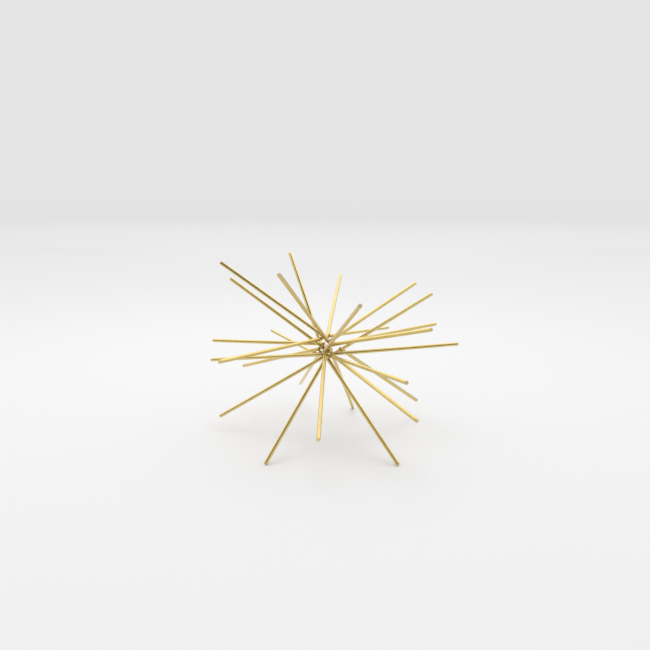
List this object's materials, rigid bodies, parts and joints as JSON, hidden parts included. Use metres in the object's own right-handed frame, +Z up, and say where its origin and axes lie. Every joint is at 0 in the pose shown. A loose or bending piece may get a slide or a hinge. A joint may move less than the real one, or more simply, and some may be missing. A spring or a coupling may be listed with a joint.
{
  "type": "tabletop starburst sculpture",
  "caption": "Free-standing starburst of straight round brass bars, brazed at the centre into an untidy knot; some bars reach down and stand on their cut ends.",
  "frame": {"origin": "middle of the overall footprint, on the table top the three feet stand on", "axes": "+Z up; -Y towards the front, between the two front feet; +X to the right seen from the front"},
  "size_m": [0.2288, 0.2252, 0.1585],
  "materials": {
    "brass_bar": "drawn brass bar, lightly polished and lacquered, soft lengthwise sheen",
    "braze": "as-run braze metal, rippled and a little darker than the bar"
  },
  "bodies": {
    "root": {"upper_spoke_left": "brass_bar", "upper_spoke_rear_left": "brass_bar", "upper_spoke_front_left": "brass_bar", "upper_spoke_steep": "brass_bar", "upper_spoke_rear": "brass_bar", "upper_spoke_front": "brass_bar", "upper_spoke_rear_right": "brass_bar", "upper_spoke_right": "brass_bar", "upper_spoke_front_right": "brass_bar", "middle_spoke_rear": "brass_bar", "middle_spoke_rear_right": "brass_bar", "middle_spoke_right": "brass_bar", "middle_spoke_front_right": "brass_bar", "middle_spoke_front_left": "brass_bar", "middle_spoke_left_low": "brass_bar", "middle_spoke_left_high": "brass_bar", "middle_spoke_rear_left": "brass_bar", "lower_spoke_rear_right": "brass_bar", "lower_spoke_front_right": "brass_bar", "lower_spoke_front": "brass_bar", "lower_spoke_left": "brass_bar", "lower_spoke_rear": "brass_bar", "lower_spoke_rear_left": "brass_bar", "foot_front_left": "brass_bar", "foot_front_right": "brass_bar", "foot_rear": "brass_bar", "braze_beads": "braze"}
  },
  "joints": []
}
